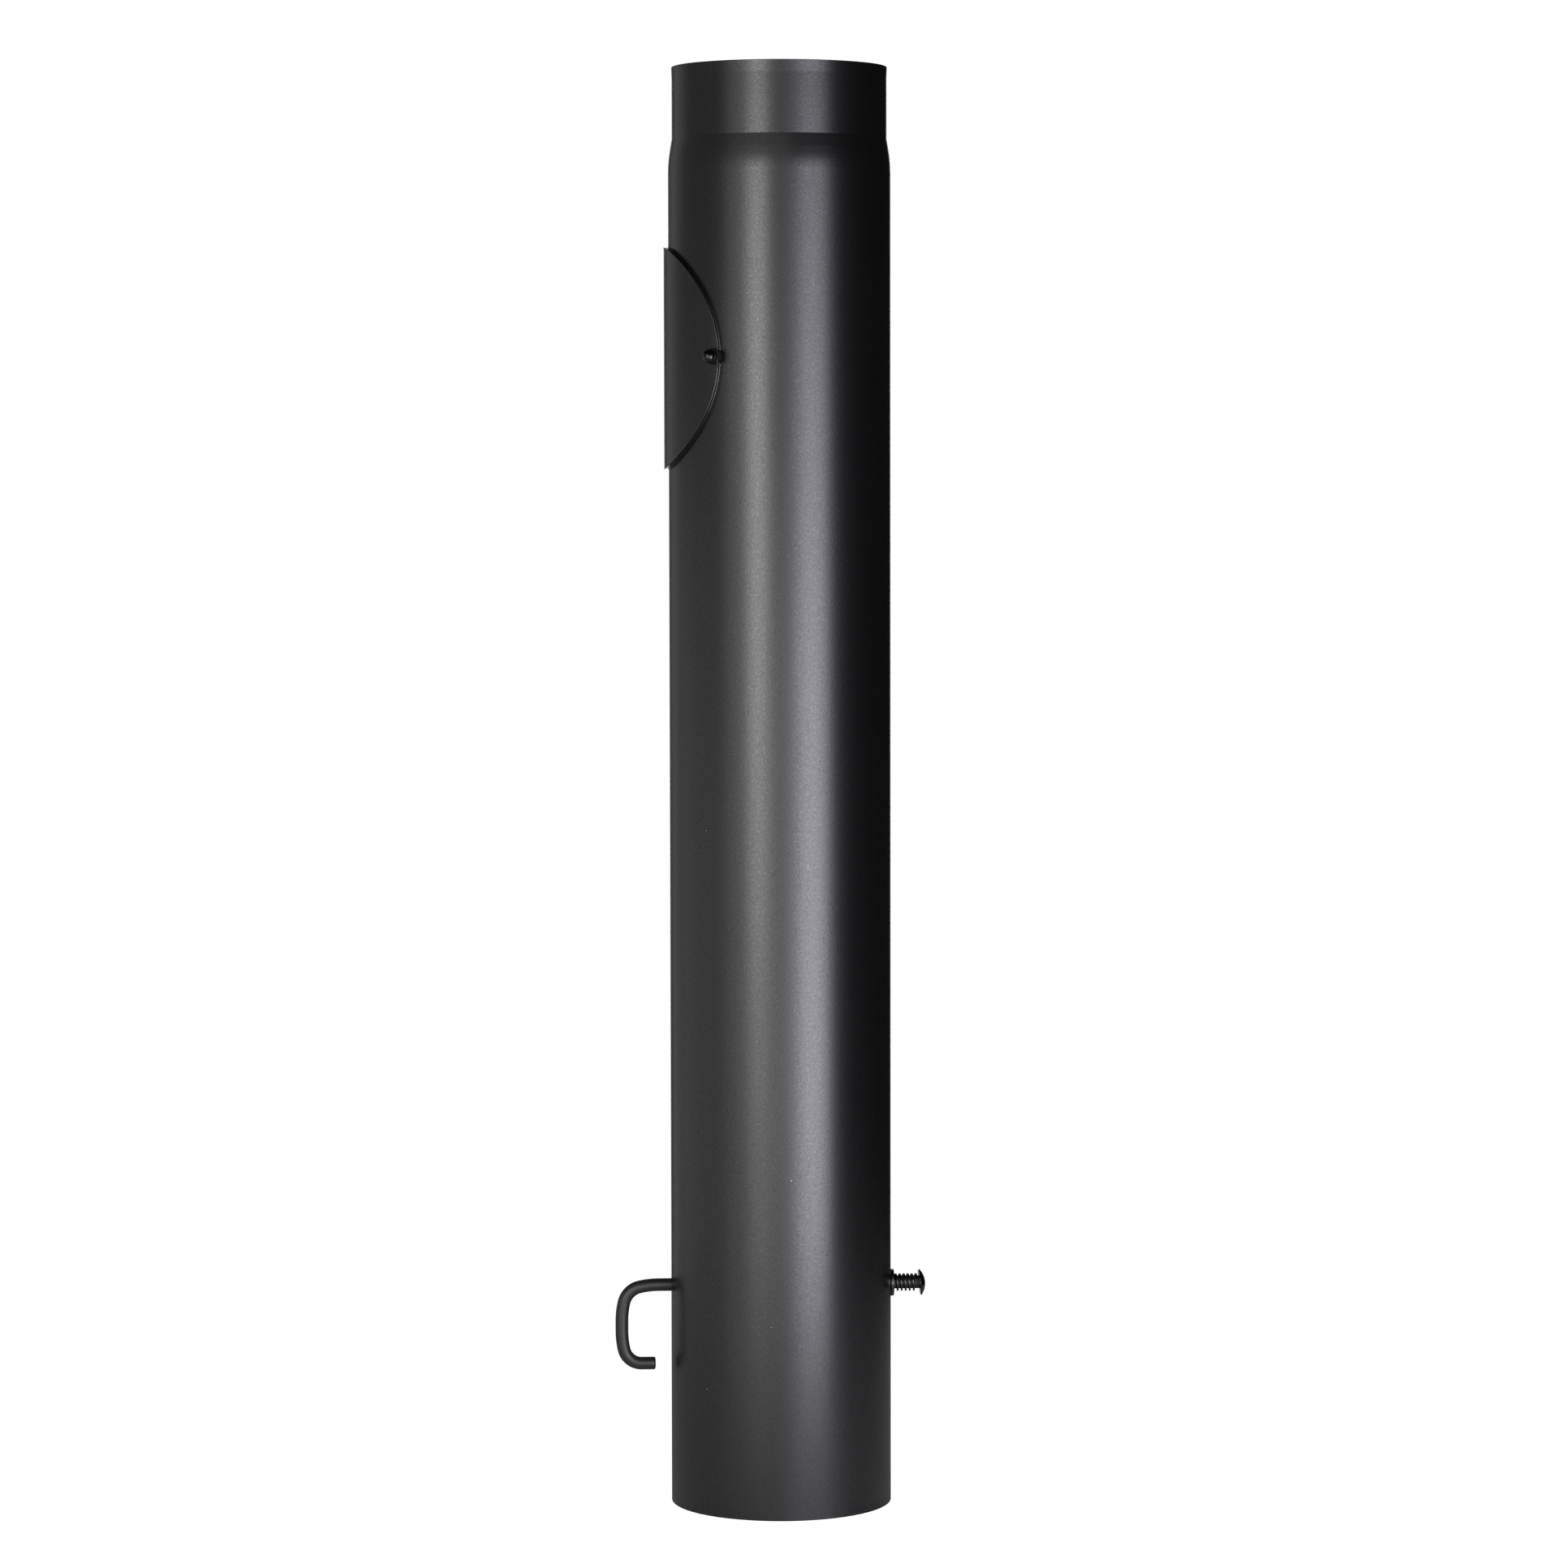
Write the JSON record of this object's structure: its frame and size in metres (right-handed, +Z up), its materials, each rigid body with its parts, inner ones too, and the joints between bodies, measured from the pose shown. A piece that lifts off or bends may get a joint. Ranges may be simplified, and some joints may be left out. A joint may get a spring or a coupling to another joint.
{
  "type": "stove pipe",
  "caption": "Length of round flue pipe with a narrowed push-in end, a curved cleaning door held by cap nuts, and a throttle damper turned by a bent bar handle against a spring.",
  "frame": {"origin": "on the pipe's axis at the lower end face, where the pipe stands or is pushed over the spigot below", "axes": "+Z up along the pipe towards the narrowed end; -X towards the cleaning door and the damper handle; the damper rod lies along X"},
  "size_m": [0.2177, 0.1542, 1],
  "materials": {
    "pipe_paint": "matt heat-resistant black paint with a fine grain",
    "rod_black": "satin black on bent round bar",
    "black_gloss": "glossy black lacquer",
    "fitting_black": "satin black oxide on steel",
    "blade_steel": "bare rolled sheet steel",
    "zinc_steel": "zinc-plated steel"
  },
  "bodies": {
    "pipe": {"pipe_body": "pipe_paint", "door_stud_front": "zinc_steel", "door_stud_rear": "zinc_steel"},
    "door": {"cleaning_door": "pipe_paint"},
    "front_nut": {"cap_nut_front": "black_gloss"},
    "rear_nut": {"cap_nut_rear": "black_gloss"},
    "damper": {"damper_rod": "rod_black", "damper_blade": "blade_steel", "blade_screw_left": "zinc_steel", "blade_screw_right": "zinc_steel", "blade_nut_left": "zinc_steel", "blade_nut_right": "zinc_steel", "rod_washer": "fitting_black", "friction_spring": "fitting_black", "grip_ring": "zinc_steel", "end_cap": "black_gloss"}
  },
  "joints": [
    {"name": "damper_turn", "type": "hinge", "parent": "pipe", "child": "damper", "pos_m": [0, 0, 0.1527], "axis": [1, 0, 0], "continuous": true},
    {"name": "door_lift", "type": "slide", "parent": "pipe", "child": "door", "axis": [-1, 0, 0], "range_m": [0, 0.0105]},
    {"name": "front_nut_back_off", "type": "slide", "parent": "pipe", "child": "front_nut", "axis": [-0.5908, -0.8068, 0], "range_m": [0, 0.007]},
    {"name": "rear_nut_back_off", "type": "slide", "parent": "pipe", "child": "rear_nut", "axis": [-0.5908, 0.8068, 0], "range_m": [0, 0.007]}
  ],
  "couplings": [
    {"joint": "front_nut_back_off", "follows": "door_lift", "ratio": 0.66666},
    {"joint": "rear_nut_back_off", "follows": "door_lift", "ratio": 0.66666}
  ]
}
